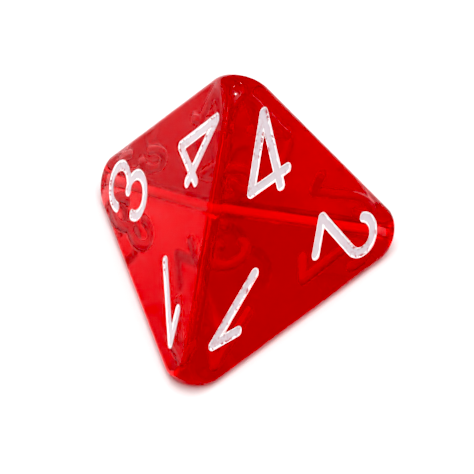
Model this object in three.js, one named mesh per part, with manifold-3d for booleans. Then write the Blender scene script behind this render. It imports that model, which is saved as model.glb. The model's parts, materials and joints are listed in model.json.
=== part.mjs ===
// Four-sided gaming die: a solid moulded tetrahedron with tumbled edges and corners, and twelve
// engraved numerals filled with white paint. Millimetres, +Z up. The origin is the centre of the
// face that the die rests on, the 1 corner points to -Y, and the 3 and 2 corners lie to -X and +X.

import * as THREE from 'three';
import { ConvexGeometry } from 'three/addons/geometries/ConvexGeometry.js';
import { mergeVertices } from 'three/addons/utils/BufferGeometryUtils.js';
import Module from 'manifold-3d';

const wasm = await Module();
wasm.setup();

// ---- Blank ----
const SHARP_EDGE = 21; // edge of the tetrahedron that the four flat faces would meet in
const EDGE_RADIUS = 0.5; // tumbled round along the edges
const CORNER_RADIUS = 2.15; // ball at each corner

const SHARP_HEIGHT = SHARP_EDGE * Math.sqrt(2 / 3);
const CORNER_DISTANCE = SHARP_HEIGHT * 3 / 4; // from the die's centre to a sharp corner
const FACE_DISTANCE = SHARP_HEIGHT / 4; // from the die's centre to a face
const HALF_EDGE_TURN = Math.acos(1 / Math.sqrt(3)); // from a face's normal to its edge's outermost line

// ---- Numerals ----
const STROKE_WIDTH = 0.68;
const GROOVE_DEPTH = 0.3;
const PAINT_BELOW_FACE = 0.06; // the dried paint sits a little under the face
const PAINT_CLEARANCE = 0.03; // between the paint and the groove's walls and floor
const BASELINE = 3.05; // from the face's centre to the numerals' feet, towards their corner
const TOP_LINE = 7.75; // from the face's centre to the numerals' heads

// ---- Smoothness ----
const CORNER_STEPS = 8; // along a face's round corner
const FILLET_STEPS = 4; // across half an edge
const BALL_RINGS = 5; // around a corner ball
const BALL_SPOKES = 18;
const BOWL_DIVISIONS = 7; // three.js doubles this on an arc
const STROKE_END_STEPS = 6; // round a stroke's end
const SHARP_TURN = 0.6; // radians: a stroke that turns more than this has a round outer corner

const PLASTIC = new THREE.MeshStandardMaterial({ color: 0xc4000c, roughness: 0.12, metalness: 0 });
const PAINT = new THREE.MeshStandardMaterial({ color: 0xf2eff2, roughness: 0.6, metalness: 0 });

// Each corner carries one numeral on all three faces that meet there.
const lowCorner = (degrees) => {
  const turn = THREE.MathUtils.degToRad(degrees);
  const reach = SHARP_EDGE / Math.sqrt(3);
  return new THREE.Vector3(reach * Math.cos(turn), reach * Math.sin(turn), 0);
};
const CORNERS = {
  4: new THREE.Vector3(0, 0, SHARP_HEIGHT),
  3: lowCorner(150),
  2: lowCorner(30),
  1: lowCorner(-90),
};
const FACES = {
  front_right: [4, 2, 1],
  front_left: [4, 1, 3],
  back: [4, 3, 2],
  base: [1, 2, 3],
};
const CENTRE = new THREE.Vector3(0, 0, FACE_DISTANCE);

function meanOf(points) {
  const sum = new THREE.Vector3();
  for (const point of points) sum.add(point);
  return sum.divideScalar(points.length);
}

function faceNormal(numerals) {
  return meanOf(numerals.map((numeral) => CORNERS[numeral])).sub(CENTRE).normalize();
}

// A frame on a face: origin at the face's centre, Z outwards and Y towards one of its corners.
function numeralFrame(numerals, numeral) {
  const origin = meanOf(numerals.map((each) => CORNERS[each]));
  const outward = faceNormal(numerals);
  const up = CORNERS[numeral].clone().sub(origin).normalize();
  const right = up.clone().cross(outward);
  return new THREE.Matrix4().makeBasis(right, up, outward).setPosition(origin);
}

// The blank is a ball of the edge radius swept over a smaller core: a tetrahedron whose corners
// are rounded by balls that touch its edges.
const CORE_CORNER = CORNER_DISTANCE * (1 - EDGE_RADIUS / FACE_DISTANCE);
const CORE_BALL = CORNER_RADIUS - EDGE_RADIUS;

function coreBallCentre(corner) {
  const axis = corner.clone().sub(CENTRE).normalize();
  return CENTRE.clone().addScaledVector(axis, CORE_CORNER - CORE_BALL * Math.sqrt(3));
}

// One round corner of one face, with the half fillet that runs from it to the ball's edge.
function faceCornerPoints(numerals, numeral) {
  const outward = faceNormal(numerals);
  const ballCentre = coreBallCentre(CORNERS[numeral]);
  const arcCentre = ballCentre.clone().addScaledVector(outward, CORE_BALL / Math.sqrt(3));
  const arcRadius = CORE_BALL * Math.sqrt(2 / 3);
  const frame = numeralFrame(numerals, numeral);
  const points = [];
  for (let step = 0; step <= CORNER_STEPS; step += 1) {
    const turn = THREE.MathUtils.degToRad(-60 + 120 * step / CORNER_STEPS);
    const sideways = new THREE.Vector3(Math.sin(turn), Math.cos(turn), 0).transformDirection(frame);
    const onArc = arcCentre.clone().addScaledVector(sideways, arcRadius);
    for (let fillet = 0; fillet <= FILLET_STEPS; fillet += 1) {
      const tilt = HALF_EDGE_TURN * fillet / FILLET_STEPS;
      points.push(onArc.clone()
        .addScaledVector(outward, EDGE_RADIUS * Math.cos(tilt))
        .addScaledVector(sideways, EDGE_RADIUS * Math.sin(tilt)));
    }
  }
  return points;
}

// The part of a corner's ball that stands clear of the three faces beside it.
function ballPoints(numeral) {
  const corner = CORNERS[numeral];
  const axis = corner.clone().sub(CENTRE).normalize();
  const toAxis = new THREE.Quaternion().setFromUnitVectors(new THREE.Vector3(0, 0, 1), axis);
  const normals = Object.values(FACES).map(faceNormal);
  const points = [];
  for (let ring = 0; ring < BALL_RINGS; ring += 1) {
    for (let spoke = 0; spoke < BALL_SPOKES; spoke += 1) {
      const direction = new THREE.Vector3()
        .setFromSphericalCoords(1, HALF_EDGE_TURN * ring / BALL_RINGS, 2 * Math.PI * spoke / BALL_SPOKES)
        .applyAxisAngle(new THREE.Vector3(1, 0, 0), Math.PI / 2)
        .applyQuaternion(toAxis);
      const clear = normals.every((normal) => direction.dot(normal) < Math.cos(HALF_EDGE_TURN));
      if (clear) points.push(coreBallCentre(corner).addScaledVector(direction, CORNER_RADIUS));
    }
  }
  return points;
}

function blankGeometry() {
  const points = Object.keys(CORNERS).flatMap(ballPoints);
  for (const numerals of Object.values(FACES)) {
    for (const numeral of numerals) points.push(...faceCornerPoints(numerals, numeral));
  }
  return new ConvexGeometry(points);
}

// ---- The pen strokes of each numeral, in its numeral frame ----

function polyline(first, ...others) {
  const path = new THREE.Path().moveTo(...first);
  for (const point of others) path.lineTo(...point);
  return path;
}

function strokesOfOne() {
  const stemX = 0.45;
  const apexY = TOP_LINE - 0.1;
  return [polyline([-0.75, apexY - 1.6], [stemX, apexY], [stemX, BASELINE - 0.25])];
}

function strokesOfTwo() {
  const radius = 1.09;
  const centre = new THREE.Vector2(-0.03, TOP_LINE - 0.05 - radius);
  const foot = new THREE.Vector2(-1.07, BASELINE);
  const toFoot = foot.clone().sub(centre);
  const leaveAngle = toFoot.angle() - 2 * Math.PI + Math.acos(radius / toFoot.length());
  const hook = new THREE.Path().absarc(centre.x, centre.y, radius, Math.PI, leaveAngle, true);
  return [hook.lineTo(foot.x, foot.y).lineTo(1.16, foot.y)];
}

function strokesOfThree() {
  const upperRadius = 1.26;
  const lowerRadius = 1.22;
  const upperY = TOP_LINE + 0.22 - upperRadius;
  const lowerY = BASELINE + 0.05 + lowerRadius;
  return [
    new THREE.Path().absarc(0.12, upperY, upperRadius, Math.PI, -Math.PI / 2, true),
    new THREE.Path().absarc(0.1, lowerY, lowerRadius, Math.PI / 2, -Math.PI * 1.04, true),
  ];
}

function strokesOfFour() {
  const stemX = 0.7;
  const apexY = TOP_LINE + 0.07;
  const crossbarY = 3.75;
  return [
    polyline([1.45, crossbarY], [-1.54, crossbarY], [stemX, apexY]),
    polyline([stemX, apexY - 0.15], [stemX, BASELINE - 0.05]),
  ];
}

const STROKES = { 1: strokesOfOne, 2: strokesOfTwo, 3: strokesOfThree, 4: strokesOfFour };

// The same turn between -180 and 180 degrees, with a turn right round always to the left.
function leftTurn(turn) {
  const slack = 1e-6;
  return THREE.MathUtils.euclideanModulo(turn + Math.PI - slack, 2 * Math.PI) - Math.PI + slack;
}

// A stroke's outline: half a width to the right of a walk along its path and back. The walk turns
// round on the spot at both ends, and there and at each sharp left turn the outline is an arc.
function strokeShape(path, width) {
  const middle = path.getPoints(BOWL_DIVISIONS);
  const walk = [...middle, ...middle.slice(1, -1).reverse()];
  const outline = [];
  walk.forEach((point, index) => {
    const before = walk.at(index - 1);
    const after = walk[(index + 1) % walk.length];
    const heading = point.clone().sub(before).angle();
    const turn = leftTurn(after.clone().sub(point).angle() - heading);
    const steps = turn > SHARP_TURN ? Math.ceil(STROKE_END_STEPS * turn / Math.PI) : 0;
    const reach = steps > 0 ? width / 2 : width / 2 / Math.cos(turn / 2);
    for (let step = 0; step <= steps; step += 1) {
      const angle = heading - Math.PI / 2 + turn * (steps > 0 ? step / steps : 1 / 2);
      outline.push(new THREE.Vector2(reach, 0).rotateAround(new THREE.Vector2(), angle).add(point));
    }
  });
  return new THREE.Shape(outline);
}

// ---- Solids ----

function toSolid(geometry) {
  const bare = geometry.clone();
  bare.deleteAttribute('normal');
  bare.deleteAttribute('uv');
  const merged = mergeVertices(bare, 1e-5);
  return new wasm.Manifold(new wasm.Mesh({
    numProp: 3,
    vertProperties: new Float32Array(merged.attributes.position.array),
    triVerts: new Uint32Array(merged.index.array),
  }));
}

function toGeometry(solid) {
  const mesh = solid.getMesh();
  const geometry = new THREE.BufferGeometry();
  geometry.setAttribute('position', new THREE.BufferAttribute(mesh.vertProperties, 3));
  geometry.setIndex(new THREE.BufferAttribute(mesh.triVerts, 1));
  geometry.computeVertexNormals();
  return geometry;
}

// All strokes of a numeral joined into one solid that spans the two heights.
function numeralSolid(numeral, width, low, high, placement) {
  const strokes = STROKES[numeral]().map((path) => {
    const extruded = new THREE.ExtrudeGeometry(strokeShape(path, width), {
      depth: high - low,
      bevelEnabled: false,
    });
    return toSolid(extruded.translate(0, 0, low).applyMatrix4(placement));
  });
  return strokes.reduce((joined, stroke) => joined.add(stroke));
}

function engravedBody() {
  const aboveFace = 0.5;
  let body = toSolid(blankGeometry());
  for (const numerals of Object.values(FACES)) {
    for (const numeral of numerals) {
      const placement = numeralFrame(numerals, numeral);
      body = body.subtract(numeralSolid(numeral, STROKE_WIDTH, -GROOVE_DEPTH, aboveFace, placement));
    }
  }
  return toGeometry(body);
}

function paintFill(numeral) {
  const floor = -GROOVE_DEPTH + PAINT_CLEARANCE;
  const width = STROKE_WIDTH - 2 * PAINT_CLEARANCE;
  return toGeometry(numeralSolid(numeral, width, floor, -PAINT_BELOW_FACE, new THREE.Matrix4()));
}

const die = new THREE.Group();

const body = new THREE.Mesh(engravedBody(), PLASTIC);
body.name = 'die_body';
die.add(body);

for (const [faceName, numerals] of Object.entries(FACES)) {
  for (const numeral of numerals) {
    const place = new THREE.Group();
    place.applyMatrix4(numeralFrame(numerals, numeral));
    const paint = new THREE.Mesh(paintFill(numeral), PAINT);
    paint.name = `numeral_${numeral}_${faceName}`;
    place.add(paint);
    die.add(place);
  }
}

export default die;
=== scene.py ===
"""A transparent red four-sided die with white numerals, built around its CAD frame.

Metres, +Z up. The die rests on the face opposite its top corner, with its 1 corner towards -Y.
Each face has a frame of its own: origin at the face's centre, Z outwards and Y towards its first
corner. What lies on a face is worked out there in millimetres, and then placed.
"""

import json
import math
from collections import Counter

import bmesh
import bpy
import numpy as np
from mathutils import Matrix, Vector, noise
from mathutils.geometry import delaunay_2d_cdt


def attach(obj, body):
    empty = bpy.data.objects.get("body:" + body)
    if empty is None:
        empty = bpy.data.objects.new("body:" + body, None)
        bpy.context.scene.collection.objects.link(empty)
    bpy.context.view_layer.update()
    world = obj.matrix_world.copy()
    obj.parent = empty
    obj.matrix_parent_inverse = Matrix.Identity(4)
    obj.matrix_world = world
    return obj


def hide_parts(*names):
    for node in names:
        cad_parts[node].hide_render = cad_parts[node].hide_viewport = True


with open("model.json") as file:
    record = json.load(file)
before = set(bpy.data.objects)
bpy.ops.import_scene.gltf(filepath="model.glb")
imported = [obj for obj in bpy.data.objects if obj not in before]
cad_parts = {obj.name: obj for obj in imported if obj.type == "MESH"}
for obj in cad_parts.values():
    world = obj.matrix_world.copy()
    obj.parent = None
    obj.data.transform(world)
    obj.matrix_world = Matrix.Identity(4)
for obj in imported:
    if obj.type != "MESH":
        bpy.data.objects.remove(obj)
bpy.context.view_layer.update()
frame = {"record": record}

MM = 0.001

# ---- The blank, in millimetres: flat faces from the frame, and the CAD's own rounds ----
MOUNTS = {mount["name"]: mount for mount in frame["record"]["mounts"]}
SHARP_HEIGHT = 3 * MOUNTS["back_face"]["pos_m"][2] / MM  # a face's centre is a third of it up
SHARP_EDGE = SHARP_HEIGHT / math.sqrt(2 / 3)
FACE_DISTANCE = SHARP_HEIGHT / 4  # from the die's centre to each face
EDGE_RADIUS = 0.5
CORNER_RADIUS = 2.15
HALF_EDGE_TURN = math.acos(1 / math.sqrt(3))  # half the normal's turn from face to face
CORNER_LEAN = math.acos(1 / 3)  # between a face's normal and its corners' axes

# The blank is a core, grown by the edge radius on all sides. The core has sharp edges, and at each
# corner a ball that touches the three edges there.
CORE_BALL = CORNER_RADIUS - EDGE_RADIUS
BALL_DISTANCE = 3 * (FACE_DISTANCE - EDGE_RADIUS) - CORE_BALL * math.sqrt(3)
BALL_DEPTH = EDGE_RADIUS + CORE_BALL / math.sqrt(3)  # from a face down to its balls' centres
ARC_DISTANCE = BALL_DISTANCE * math.sin(CORNER_LEAN)  # out to the arcs at a flat's corners
ARC_RADIUS = CORE_BALL * math.sqrt(2 / 3)

BASE_CORNERS = {1: -90, 2: 30, 3: 150}  # the way to each, in degrees from +X
FACES = {  # the numerals at each face's corners, clockwise from its first corner
    "front_right": (4, 2, 1),
    "front_left": (4, 1, 3),
    "back": (4, 3, 2),
    "base": (1, 2, 3),
}

# ---- Numerals, in millimetres ----
STROKE_WIDTH = 0.68
GROOVE_DEPTH = 0.3
GROOVE_LIP = 0.03  # how far the rounded lip reaches past the stroke's width
GROOVE_HALF_WIDTH = STROKE_WIDTH / 2 + GROOVE_LIP
GROOVE_WALL = 0.17  # how far the wall leans in from the lip to the floor
BASELINE = 3.05
TOP_LINE = 7.75
SHARP_TURN = 0.6  # an outline goes round outer bends sharper than this, in radians
ROUND_STEPS = 12  # steps in half a turn of such a round
MERGE_DISTANCE = 0.0001  # points of a face or a numeral that are closer than this become one

CONTACT = 0.012  # the paint bites this far into the plastic, so that no air shows between them
RIM_DROP = 0.03  # from the face down to the paint's rim
MENISCUS_SAG = 0.08  # from the paint's rim down to its middle
PAINT_GRAIN = 0.012  # height of the paint's unevenness
GRAIN_RATE = 6  # bumps of it in a millimetre, more or less


def polar(radius, angle):
    return np.array([radius * math.cos(angle), radius * math.sin(angle)])


def arc(centre, radius, start, end, step=math.radians(7)):
    """Points along an arc, from the start angle to the end angle."""
    count = max(2, math.ceil(abs(end - start) / step))
    angles = start + (end - start) * np.arange(count + 1) / count
    return [np.array(centre) + polar(radius, angle) for angle in angles]


def resample(path, spacing):
    """The same path with extra points, none of them further apart than the spacing."""
    points = [np.array(path[0], float)]
    for target in path[1:]:
        start = points[-1]
        span = np.array(target, float) - start
        count = max(1, math.ceil(np.linalg.norm(span) / spacing))
        points.extend(start + span * (step + 1) / count for step in range(count))
    return points


def strokes_of_one():
    stem_x = 0.45
    apex_y = TOP_LINE - 0.1
    flag_tip = (-0.75, apex_y - 1.6)
    foot = (stem_x, BASELINE - 0.25)
    return [[flag_tip, (stem_x, apex_y), foot]]


def strokes_of_two():
    """A hook, a straight line down from where it points at the foot's left end, and the foot."""
    radius = 1.09
    centre = np.array([-0.03, TOP_LINE - 0.05 - radius])
    foot_left = np.array([-1.07, BASELINE])
    foot_right = (1.16, BASELINE)
    to_foot = foot_left - centre
    distance = np.linalg.norm(to_foot)
    leave_angle = math.atan2(to_foot[1], to_foot[0]) + math.acos(radius / distance)
    hook = arc(centre, radius, math.pi, leave_angle)
    return [[*hook, foot_left, foot_right]]


def strokes_of_three():
    upper_radius = 1.26
    lower_radius = 1.22
    upper_centre = (0.12, TOP_LINE + 0.22 - upper_radius)
    lower_centre = (0.1, BASELINE + 0.05 + lower_radius)
    lower_end = -math.pi * 1.04
    return [
        arc(upper_centre, upper_radius, math.pi, -math.pi / 2),
        arc(lower_centre, lower_radius, math.pi / 2, lower_end),
    ]


def strokes_of_four():
    stem_x = 0.7
    apex_y = TOP_LINE + 0.07
    crossbar_y = 3.75
    crossbar_left = -1.54
    crossbar_right = 1.45
    return [
        [(crossbar_right, crossbar_y), (crossbar_left, crossbar_y), (stem_x, apex_y)],
        [(stem_x, apex_y - 0.15), (stem_x, BASELINE - 0.05)],
    ]


STROKES = {1: strokes_of_one(), 2: strokes_of_two(), 3: strokes_of_three(), 4: strokes_of_four()}


def left_turn(turn):
    """The same turn between -pi and pi, with a turn right round always to the left."""
    slack = 1e-6
    return (turn + math.pi - slack) % (2 * math.pi) - math.pi + slack


def outline(path, half_width):
    """The loop half a width to the right of a walk along the path and back, with round ends."""
    walk = path + path[-2:0:-1]
    loop = []
    for index, point in enumerate(walk):
        arriving = point - walk[index - 1]
        leaving = walk[(index + 1) % len(walk)] - point
        heading = math.atan2(arriving[1], arriving[0])
        turn = left_turn(math.atan2(leaving[1], leaving[0]) - heading)
        steps = math.ceil(ROUND_STEPS * turn / math.pi) if turn > SHARP_TURN else 0
        reach = half_width if steps else half_width / math.cos(turn / 2)
        for step in range(steps + 1):
            share = step / steps if steps else 0.5
            loop.append(point + polar(reach, heading - math.pi / 2 + turn * share))
    return loop


def nearest_stroke(points, paths):
    """For each point, its distance from the nearest stroke's middle, and the way away from it."""
    best = np.full(len(points), np.inf)
    away = np.zeros((len(points), 2))
    for path in paths:
        for start, end in zip(path[:-1], path[1:]):
            span = end - start
            share = np.clip((points - start) @ span / (span @ span), 0, 1)
            offset = points - (start + share[:, None] * span)
            distance = np.linalg.norm(offset, axis=1)
            closer = distance < best
            best[closer] = distance[closer]
            away[closer] = offset[closer] / np.maximum(distance[closer], 1e-9)[:, None]
    return best, away


def ease(share):
    """From 0 to 1 as the share does, but level at both ends."""
    return share * share * (3 - 2 * share)


def triangulate(border, loops, open_paths=()):
    """Triangles inside the border that respect every loop and path: (points, triangles)."""
    points = [Vector(point) for point in border]
    edges = []
    for loop in loops:
        first = len(points)
        count = len(loop)
        points.extend(Vector(point) for point in loop)
        edges.extend((first + index, first + (index + 1) % count) for index in range(count))
    for path in open_paths:
        first = len(points)
        points.extend(Vector(point) for point in path)
        edges.extend((first + index, first + index + 1) for index in range(len(path) - 1))
    inside_only = 1
    rings = [list(range(len(border)))]
    result = delaunay_2d_cdt(points, edges, rings, inside_only, MERGE_DISTANCE)
    return np.array([list(point) for point in result[0]]), [list(face) for face in result[2]]


# ---- The body ----
ARC_STEPS = 24
FILLET_STEPS = 7
BALL_STEPS = 12
GROOVE_STEPS = 8  # outlines down a groove's wall
EDGE_SPACING = 0.5
GROOVE_SPACING = 0.3


class Shell:
    """A growing list of points, their normals and the faces between them."""

    def __init__(self):
        self.points = []
        self.normals = []
        self.faces = []

    def add(self, points, normals, faces):
        first = len(self.points)
        self.points.extend(points)
        self.normals.extend(normals)
        self.faces.extend([first + index for index in face] for face in faces)

    def add_grid(self, rows):
        """Rows of (point, normal) pairs, all of one length, joined by quads that face outwards."""
        across = len(rows[0])
        faces = []
        for row in range(len(rows) - 1):
            for column in range(across - 1):
                corner = row * across + column
                faces.append([corner, corner + across, corner + across + 1, corner + 1])
        pairs = [pair for row in rows for pair in row]
        self.add([point for point, _ in pairs], [normal for _, normal in pairs], faces)


def corner_sweep(corner):
    """The way to a corner of a face, and the ways that its arc faces, clockwise."""
    middle = math.radians(90 - 120 * corner)
    turns = [math.radians(60 - 120 * step / ARC_STEPS) for step in range(ARC_STEPS + 1)]
    return middle, [middle + turn for turn in turns]


def flat_outline():
    """The flat part of a face, clockwise seen from outside: (point, outward direction) pairs."""
    loop = []
    for corner in range(3):
        middle, angles = corner_sweep(corner)
        centre = polar(ARC_DISTANCE, middle)
        loop.extend((centre + polar(ARC_RADIUS, angle), polar(1, angle)) for angle in angles)
        outward = polar(1, angles[-1])
        next_centre = polar(ARC_DISTANCE, middle - math.radians(120))
        next_start = next_centre + polar(ARC_RADIUS, angles[-1])
        straight = resample([loop[-1][0], next_start], EDGE_SPACING)[1:-1]
        loop.extend((point, outward) for point in straight)
    return loop


def groove_profile(distance):
    """Depth and its slope at a distance from a stroke's middle."""
    share = np.clip((GROOVE_HALF_WIDTH - distance) / GROOVE_WALL, 0, 1)
    slope = GROOVE_DEPTH * 6 * share * (1 - share) / GROOVE_WALL
    return GROOVE_DEPTH * ease(share), slope


def placed_strokes(numerals):
    """The strokes of a face's three numerals, each turned towards its own corner."""
    paths = []
    for corner, numeral in enumerate(numerals):
        turn = Matrix.Rotation(math.radians(-120 * corner), 2)
        for path in STROKES[numeral]:
            points = resample(path, GROOVE_SPACING)
            paths.append([np.array(turn @ Vector(point)) for point in points])
    return paths


def add_engraved_flat(shell, numerals, rim):
    paths = placed_strokes(numerals)
    half_widths = [
        GROOVE_HALF_WIDTH - GROOVE_WALL * step / GROOVE_STEPS for step in range(GROOVE_STEPS + 1)
    ]
    grooves = [outline(path, half_width) for path in paths for half_width in half_widths]
    points, triangles = triangulate([point for point, _ in rim], grooves)
    distance, away = nearest_stroke(points, paths)
    depth, slope = groove_profile(distance)
    normals = np.column_stack([-away * slope[:, None], np.ones(len(points))])
    normals /= np.linalg.norm(normals, axis=1)[:, None]
    shell.add(np.column_stack([points, -depth]), normals, triangles)


def add_fillet(shell, rim):
    """The round from a face's flat part to the middle lines of its edges and to its corner balls."""
    rows = []
    for point, outward in [*rim, rim[0]]:
        row = []
        for step in range(FILLET_STEPS + 1):
            tilt = HALF_EDGE_TURN * step / FILLET_STEPS
            normal = np.array([*(outward * math.sin(tilt)), math.cos(tilt)])
            row.append((np.array([*point, -EDGE_RADIUS]) + EDGE_RADIUS * normal, normal))
        rows.append(row)
    shell.add_grid(rows)


def add_ball_thirds(shell):
    """At each corner of a face, the third of the corner's ball that this face's fillet meets."""
    for corner in range(3):
        middle, angles = corner_sweep(corner)
        centre = np.array([*polar(ARC_DISTANCE, middle), -BALL_DEPTH])
        tip = Vector([*polar(math.sin(CORNER_LEAN), middle), math.cos(CORNER_LEAN)])
        rows = []
        for angle in angles:
            border = Vector([*polar(math.sin(HALF_EDGE_TURN), angle), math.cos(HALF_EDGE_TURN)])
            normals = [
                np.array(border.slerp(tip, ring / BALL_STEPS)) for ring in range(BALL_STEPS + 1)
            ]
            rows.append([(centre + CORNER_RADIUS * normal, normal) for normal in normals])
        shell.add_grid(rows)


def corner_point(numeral):
    """A sharp corner of the tetrahedron, in millimetres in the part's frame."""
    if numeral in BASE_CORNERS:
        angle = math.radians(BASE_CORNERS[numeral])
        return Vector([*polar(SHARP_EDGE / math.sqrt(3), angle), 0])
    return Vector((0, 0, SHARP_HEIGHT))


def face_matrix(face):
    """From a face's own frame in millimetres to the part's frame in metres."""
    mount = MOUNTS[face + "_face"]
    outward = Vector(mount["axis"])
    first_corner = corner_point(FACES[face][0])
    up = (first_corner * MM - Vector(mount["pos_m"])).normalized()
    right = up.cross(outward)
    turn = Matrix((right, up, outward)).transposed()
    return Matrix.Translation(mount["pos_m"]) @ turn.to_4x4() @ Matrix.Scale(MM, 4)


def new_piece(name, points, faces, material):
    """A smooth-shaded object with one material, linked into the scene."""
    mesh = bpy.data.meshes.new(name)
    mesh.from_pydata(points, [], faces)
    mesh.polygons.foreach_set("use_smooth", [True] * len(mesh.polygons))
    mesh.materials.append(material)
    piece = bpy.data.objects.new(name, mesh)
    bpy.context.scene.collection.objects.link(piece)
    return piece


def weld(mesh, distance):
    work = bmesh.new()
    work.from_mesh(mesh)
    bmesh.ops.remove_doubles(work, verts=work.verts, dist=distance)
    bmesh.ops.dissolve_degenerate(work, edges=work.edges, dist=distance)
    work.to_mesh(mesh)
    work.free()


def weld_with_normals(mesh, normals, distance=2e-8):
    """Join the points that lie on each other, and shade the mesh by the normals it is given."""
    before = mesh.attributes.new("smooth_normal", "FLOAT_VECTOR", "POINT")
    before.data.foreach_set("vector", np.array(normals, float).ravel())
    weld(mesh, distance)
    after = mesh.attributes["smooth_normal"]
    kept = np.zeros(3 * len(mesh.vertices))
    after.data.foreach_get("vector", kept)
    mesh.normals_split_custom_set_from_vertices(kept.reshape(-1, 3))


def build_body(material):
    shell = Shell()
    rim = flat_outline()
    for face, numerals in FACES.items():
        local = Shell()
        add_engraved_flat(local, numerals, rim)
        add_fillet(local, rim)
        add_ball_thirds(local)
        place = face_matrix(face)
        turn = place.to_3x3().normalized()
        points = [place @ Vector(point) for point in local.points]
        normals = [turn @ Vector(normal) for normal in local.normals]
        shell.add(points, normals, local.faces)
    body = new_piece("transparent_body", shell.points, shell.faces, material)
    weld_with_normals(body.data, shell.normals)
    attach(body, "root")
    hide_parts("die_body")


# ---- The paint ----
PAINT_SPACING = 0.1
PAINT_STEPS = 6  # outlines between the rim and the foot of the wall
INNER_OUTLINES = (0.66, 0.33)  # shares of the last of them, further in


def paint_rim():
    """The half width where the paint's top meets its underside, inside the plastic."""
    shares = np.linspace(0, 1, 2001)
    depths = (GROOVE_DEPTH + CONTACT) * ease(shares)
    share = shares[np.searchsorted(depths, RIM_DROP)]
    return GROOVE_HALF_WIDTH + CONTACT - share * GROOVE_WALL


def paint_pattern(paths, rim):
    """The paint seen from above, inside its rim: (points, triangles)."""
    widths = [rim - GROOVE_WALL * step / PAINT_STEPS for step in range(PAINT_STEPS + 1)]
    widths.extend(widths[-1] * share for share in INNER_OUTLINES)
    loops = [outline(path, width) for path in paths for width in widths]
    reach = 1.2 * np.abs(np.concatenate(paths)).max()
    square = [(-reach, -reach), (reach, -reach), (reach, reach), (-reach, reach)]
    points, triangles = triangulate(square, loops, paths)
    middles = points[np.array(triangles)].mean(axis=1)
    inside = nearest_stroke(middles, paths)[0] < rim
    return points, [triangle for triangle, keep in zip(triangles, inside) if keep]


def paint_heights(points, paths, rim, seed):
    """Top and underside of the paint, and how far in from the rim each point is, from 0 to 1."""
    distance, _ = nearest_stroke(points, paths)
    share = np.clip((GROOVE_HALF_WIDTH + CONTACT - distance) / GROOVE_WALL, 0, 1)
    underside = -(GROOVE_DEPTH + CONTACT) * ease(share)
    inward = np.clip(1 - distance / rim, 0, 1)
    sag = MENISCUS_SAG * (1 - (1 - inward) ** 3)
    places = [Vector((x * GRAIN_RATE, y * GRAIN_RATE, seed)) for x, y in points]
    grain = np.array([noise.noise(place) for place in places])
    fade = np.minimum(1, 8 * inward)  # no unevenness at the rim itself
    return -RIM_DROP - sag + PAINT_GRAIN * grain * fade, underside, inward


def border_points(triangles):
    """The points on the sides that only one triangle has."""
    sides = Counter(
        frozenset(side)
        for triangle in triangles
        for side in zip(triangle, triangle[1:] + triangle[:1])
    )
    return {index for side, count in sides.items() if count == 1 for index in side}


def closed_shape(points, triangles, top, underside):
    """A top and an underside over the same triangles, which share the points on the border.

    Gives the shape's points and faces, and which of the flat points its top uses, in order.
    """
    border = border_points(triangles)
    used = sorted({index for triangle in triangles for index in triangle})
    top_index = {index: place for place, index in enumerate(used)}
    low_index = dict(top_index)
    shape = [(*points[index], top[index]) for index in used]
    for index in used:
        if index not in border:
            low_index[index] = len(shape)
            shape.append((*points[index], underside[index]))
    faces = [[top_index[index] for index in triangle] for triangle in triangles]
    faces.extend([low_index[index] for index in reversed(triangle)] for triangle in triangles)
    return shape, faces, used


def build_paint(face, corner, numeral, material):
    rim = paint_rim()
    paths = [resample(path, PAINT_SPACING) for path in STROKES[numeral]]
    points, triangles = paint_pattern(paths, rim)
    seed = 10 * numeral + list(FACES).index(face)
    top, underside, inward = paint_heights(points, paths, rim, seed)
    shape, faces, used = closed_shape(points, triangles, top, underside)

    place = face_matrix(face) @ Matrix.Rotation(math.radians(-120 * corner), 4, "Z")
    placed = [place @ Vector(point) for point in shape]
    paint = new_piece(f"paint_{numeral}_{face}", placed, faces, material)
    values = np.zeros(len(shape))
    values[:len(used)] = inward[used]
    paint.data.attributes.new("inward", "FLOAT", "POINT").data.foreach_set("value", values)
    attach(paint, "root")
    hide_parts(f"numeral_{numeral}_{face}")


# ---- Materials ----


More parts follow.
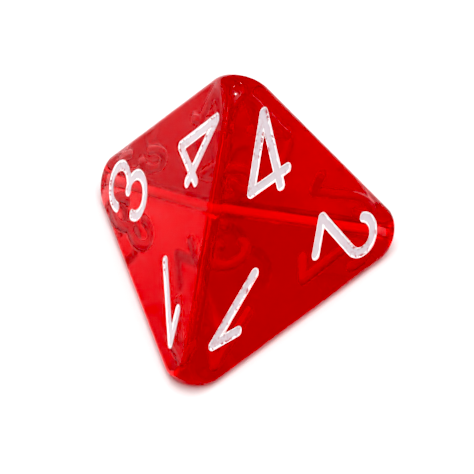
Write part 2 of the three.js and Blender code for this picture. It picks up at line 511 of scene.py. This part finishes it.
class Shader:
    """The node tree of a material or a world, with short calls to add nodes and links."""

    def __init__(self, owner, output_kind="ShaderNodeOutputMaterial"):
        self.owner = owner
        owner.use_nodes = True
        self.tree = owner.node_tree
        self.tree.nodes.clear()
        self.output = self.node(output_kind)

    def node(self, kind, **settings):
        """A new node: names with a capital set its inputs, the others set its properties."""
        node = self.tree.nodes.new(kind)
        for name, value in settings.items():
            label = name.replace("_", " ")
            if name[0].isupper():
                node.inputs[label].default_value = value
            else:
                setattr(node, name, value)
        return node

    def link(self, source, target):
        self.tree.links.new(source, target)

    def calculate(self, operation, *values):
        """The result of one operation on sockets and plain numbers."""
        node = self.node("ShaderNodeMath", operation=operation)
        for socket, value in zip(node.inputs, values):
            if isinstance(value, bpy.types.NodeSocket):
                self.link(value, socket)
            else:
                socket.default_value = value
        return node.outputs["Value"]

    def noise(self, coordinates, **settings):
        node = self.node("ShaderNodeTexNoise", **settings)
        self.link(coordinates, node.inputs["Vector"])
        return node.outputs["Fac"]

    def ramp(self, source, *stops):
        """A colour ramp on a value, from (position, grey or colour) stops."""
        node = self.node("ShaderNodeValToRGB")
        elements = node.color_ramp.elements
        while len(elements) < len(stops):
            elements.new(0.5)
        for element, (position, colour) in zip(elements, stops):
            element.position = position
            element.color = colour if isinstance(colour, tuple) else (colour, colour, colour, 1)
        self.link(source, node.inputs["Fac"])
        return node.outputs["Color"]

    def mix(self, share, first, second):
        """From the first colour, a socket, towards the second, a plain colour."""
        node = self.node("ShaderNodeMix", data_type="RGBA")
        inputs = {socket.identifier: socket for socket in node.inputs}
        outputs = {socket.identifier: socket for socket in node.outputs}
        self.link(share, inputs["Factor_Float"])
        self.link(first, inputs["A_Color"])
        inputs["B_Color"].default_value = second
        return outputs["Result_Color"]

    def bump(self, height, **settings):
        node = self.node("ShaderNodeBump", **settings)
        self.link(height, node.inputs["Height"])
        return node.outputs["Normal"]

    def surface(self, linked, **settings):
        """A Principled surface: the linked inputs come from sockets, the settings are plain."""
        node = self.node("ShaderNodeBsdfPrincipled", **settings)
        for name, source in linked.items():
            self.link(source, node.inputs[name])
        self.link(node.outputs["BSDF"], self.output.inputs["Surface"])


def red_plastic():
    """Transparent red plastic, with faint polishing marks and slightly uneven gloss."""
    shader = Shader(bpy.data.materials.new("red_plastic"))
    coordinates = shader.node("ShaderNodeTexCoord").outputs["Object"]
    gloss = shader.noise(coordinates, Scale=260.0, Detail=3.0)
    marks = shader.noise(coordinates, Scale=900.0, Detail=4.0, Roughness=0.6)
    shader.surface(
        {
            "Roughness": shader.ramp(gloss, (0.35, 0.07), (0.7, 0.13)),
            "Normal": shader.bump(marks, Strength=0.02, Distance=0.00002),
        },
        Base_Color=(1.0, 0.6, 0.6, 1),
        IOR=1.49,
        Transmission_Weight=1.0,
    )
    volume = shader.node("ShaderNodeVolumeAbsorption", Color=(0.990, 0.0, 0.02, 1), Density=500.0)
    shader.link(volume.outputs["Volume"], shader.output.inputs["Volume"])
    return shader.owner


def paint_colour_and_shade(shader, coordinates, inward, mottle):
    """White at the rim and greyer further in, partly thinner paint that lets the red show and partly
    painted shade in the stroke's sunken middle, with flecks worn down to the red plastic.
    """
    streaks = shader.noise(coordinates, Scale=5000.0, Detail=2.0)
    streaked = shader.calculate("MULTIPLY_ADD", streaks, 0.3, inward)
    # Greyer towards the middle: partly thin paint over the red plastic, partly painted shade where the
    # stroke's middle sinks.
    colour = shader.ramp(
        shader.calculate("MULTIPLY_ADD", mottle, 0.5, streaked),
        (0.74, (0.99, 0.99, 0.99, 1)),
        (0.85, (0.66, 0.565, 0.60, 1)),
        (1.00, (0.71, 0.63, 0.665, 1)),
    )
    worn = shader.ramp(shader.noise(coordinates, Scale=450.0, Detail=1.0), (0.50, 0.0), (0.56, 1.0))
    fleck = shader.ramp(streaks, (0.52, 0.0), (0.60, 1.0))
    off_rim = shader.ramp(inward, (0.1, 0.0), (0.25, 1.0), (0.6, 0.2))
    bare = shader.calculate("MULTIPLY", shader.calculate("MULTIPLY", worn, fleck), off_rim)
    return shader.mix(bare, colour, (0.45, 0.01, 0.02, 1))


def white_paint():
    """Dried paint, slightly rough and uneven, that lets a little light in."""
    shader = Shader(bpy.data.materials.new("white_paint"))
    coordinates = shader.node("ShaderNodeTexCoord").outputs["Object"]
    inward = shader.node("ShaderNodeAttribute", attribute_name="inward").outputs["Fac"]
    mottle = shader.noise(coordinates, Scale=1800.0, Detail=4.0)
    shader.surface(
        {
            "Base Color": paint_colour_and_shade(shader, coordinates, inward, mottle),
            "Normal": shader.bump(mottle, Strength=0.3, Distance=0.00003),
        },
        Roughness=0.55,
        Subsurface_Weight=0.35,
        Subsurface_Radius=(1.0, 1.0, 1.0),
        Subsurface_Scale=0.00008,
    )
    return shader.owner


def pale_floor():
    shader = Shader(bpy.data.materials.new("pale_floor"))
    shader.surface(
        {},
        Base_Color=(0.8, 0.8, 0.8, 1),
        Roughness=0.7,
        Emission_Color=(1, 1, 1, 1),
        Emission_Strength=0.02,
    )
    return shader.owner


# ---- Stage ----
CAMERA_AZIMUTH = 11.31
CAMERA_ELEVATION = 44.35
CAMERA_ROLL = 3.12
CAMERA_DISTANCE = 0.1894  # from the die's centre, in metres
CAMERA_LENS = 247.3
CAMERA_OFFSET = (0.33, -1.08)  # how far it is moved right and up, in millimetres

SURROUND = 0.52  # brightness of the white tent round the die
PANELS = {  # azimuth, elevation and radius in degrees, and added brightness
    "ceiling": (0, 85, 40, 2.5),
    "front_left": (-60, 20, 18, 3.4),
    "front_right": (60, 58, 40, 0.9),
    "back_right": (144, 32, 24, 0.75),
    "opening": (15, 28, 40, -0.32),
}
PANEL_CORE = 0.4  # the share of a panel's radius that is evenly bright

SOFTBOX_SPREAD = 4  # how wide each one looks from the die, in degrees
SOFTBOX_DISTANCE = 1.0
SOFTBOXES = {  # azimuth and elevation in degrees, and brightness
    "overhead": (-89, 84, 60),
    "back_left": (-150, 59, 14),
    "back": (-177, 49, 14),
}

FLOOR_GAP = 0.03  # the air film under the die, in millimetres
FLOOR_HALF = 2.0
BLACK_LEVEL = (0.124, 0.124, 0.119)  # the brightness that the picture shows as black


def add_floor():
    half = FLOOR_HALF
    level = -FLOOR_GAP * MM
    corners = [(-half, -half, level), (half, -half, level), (half, half, level), (-half, half, level)]
    floor = new_piece("floor", corners, [(0, 1, 2, 3)], pale_floor())


def direction(azimuth, elevation):
    """The way from the die to a place round it: azimuth 0 is -Y, and 90 is +X."""
    turn = math.radians(azimuth)
    lift = math.radians(elevation)
    return Vector((
        math.sin(turn) * math.cos(lift), -math.cos(turn) * math.cos(lift), math.sin(lift)
    ))


def add_camera():
    towards = direction(CAMERA_AZIMUTH, CAMERA_ELEVATION)
    level_right = Vector((0, 0, 1)).cross(towards).normalized()
    level_up = towards.cross(level_right)
    roll = math.radians(CAMERA_ROLL)
    right = level_right * math.cos(roll) + level_up * math.sin(roll)
    up = level_up * math.cos(roll) - level_right * math.sin(roll)
    place = Vector((0, 0, FACE_DISTANCE * MM)) + towards * CAMERA_DISTANCE
    place += (right * CAMERA_OFFSET[0] + up * CAMERA_OFFSET[1]) * MM
    camera = bpy.data.objects.new("camera", bpy.data.cameras.new("camera"))
    camera.data.sensor_width = 36
    camera.data.lens = CAMERA_LENS
    camera.data.clip_start = 0.005
    camera.matrix_world = Matrix.Translation(place) @ Matrix((right, up, towards)).transposed().to_4x4()
    bpy.context.scene.collection.objects.link(camera)
    bpy.context.scene.camera = camera


def add_softbox(name, azimuth, elevation, brightness):
    """A round softbox that faces the die."""
    light = bpy.data.lights.new(name, "AREA")
    light.shape = "DISK"
    light.size = 2 * SOFTBOX_DISTANCE * math.tan(math.radians(SOFTBOX_SPREAD) / 2)
    area = math.pi * light.size**2 / 4
    light.energy = brightness * math.pi * area
    softbox = bpy.data.objects.new(name, light)
    towards = direction(azimuth, elevation)
    softbox.location = towards * SOFTBOX_DISTANCE
    softbox.rotation_euler = towards.to_track_quat("Z", "Y").to_euler()
    bpy.context.scene.collection.objects.link(softbox)


def panel_brightness(shader, coordinates, name):
    """What a panel adds to the tent: all of it at its core, and less and less to its edge."""
    azimuth, elevation, radius, added = PANELS[name]
    facing = shader.node("ShaderNodeVectorMath", operation="DOT_PRODUCT")
    facing.inputs[1].default_value = direction(azimuth, elevation)
    shader.link(coordinates, facing.inputs[0])
    panel = shader.node(
        "ShaderNodeMapRange",
        label=name,
        interpolation_type="SMOOTHSTEP",
        From_Min=math.cos(math.radians(radius)),
        From_Max=math.cos(math.radians(PANEL_CORE * radius)),
        To_Max=added,
    )
    shader.link(facing.outputs["Value"], panel.inputs["Value"])
    return panel.outputs["Result"]


def add_world():
    """A white tent with bright panels, and a dimmer opening at the front."""
    world = bpy.data.worlds.new("studio")
    bpy.context.scene.world = world
    shader = Shader(world, "ShaderNodeOutputWorld")
    coordinates = shader.node("ShaderNodeTexCoord").outputs["Generated"]
    brightness = SURROUND
    for name in PANELS:
        added = panel_brightness(shader, coordinates, name)
        brightness = shader.calculate("ADD", brightness, added)
    background = shader.node("ShaderNodeBackground", Color=(1, 1, 1, 1))
    shader.link(brightness, background.inputs["Strength"])
    shader.link(background.outputs["Background"], shader.output.inputs["Surface"])


def set_view():
    """Plain colours with a deep black, and enough bounces for light to find its way out of the die."""
    scene = bpy.context.scene
    scene.view_settings.view_transform = "Standard"
    scene.view_settings.use_curve_mapping = True
    scene.view_settings.curve_mapping.black_level = BLACK_LEVEL
    scene.view_settings.curve_mapping.update()
    scene.cycles.sample_clamp_indirect = 30
    scene.cycles.max_bounces = 32
    scene.cycles.glossy_bounces = 24
    scene.cycles.transmission_bounces = 24


add_floor()
add_camera()
add_world()
for name, (azimuth, elevation, brightness) in SOFTBOXES.items():
    add_softbox(name, azimuth, elevation, brightness)
build_body(red_plastic())
paint_material = white_paint()
for face, numerals in FACES.items():
    for corner, numeral in enumerate(numerals):
        build_paint(face, corner, numeral, paint_material)
set_view()
